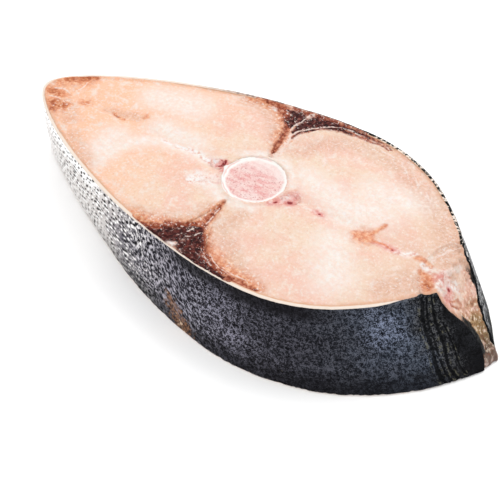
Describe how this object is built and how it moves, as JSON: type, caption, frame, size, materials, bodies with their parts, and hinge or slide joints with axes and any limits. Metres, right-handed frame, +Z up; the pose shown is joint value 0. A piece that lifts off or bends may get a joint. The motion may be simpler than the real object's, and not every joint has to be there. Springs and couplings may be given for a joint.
{
  "type": "raw fish steak",
  "caption": "Raw skin-on mahi-mahi steak: a pointed oval cross-cut with pale flesh, round backbone, dark muscle wedges and grey to black skin.",
  "frame": {"origin": "middle of the underside, on the surface that the steak lies on", "axes": "+X from the belly tip to the trimmed back fin, +Y towards the far flank, +Z up out of the upper cut face"},
  "size_m": [0.168, 0.0886, 0.0283],
  "materials": {
    "flesh": "moist",
    "skin": "moist, finely scaled",
    "backbone": "moist bone",
    "spinal_cord": "moist",
    "blood_vessel": "moist",
    "dark_muscle_near": "moist",
    "dark_muscle_far": "moist",
    "fin_slot_tissue": "fibrous"
  },
  "bodies": {
    "root": {"flesh": "flesh", "skin": "skin", "backbone": "backbone", "spinal_cord": "spinal_cord", "blood_vessel": "blood_vessel", "dark_muscle_near": "dark_muscle_near", "dark_muscle_far": "dark_muscle_far", "fin_slot_tissue": "fin_slot_tissue"}
  },
  "joints": []
}
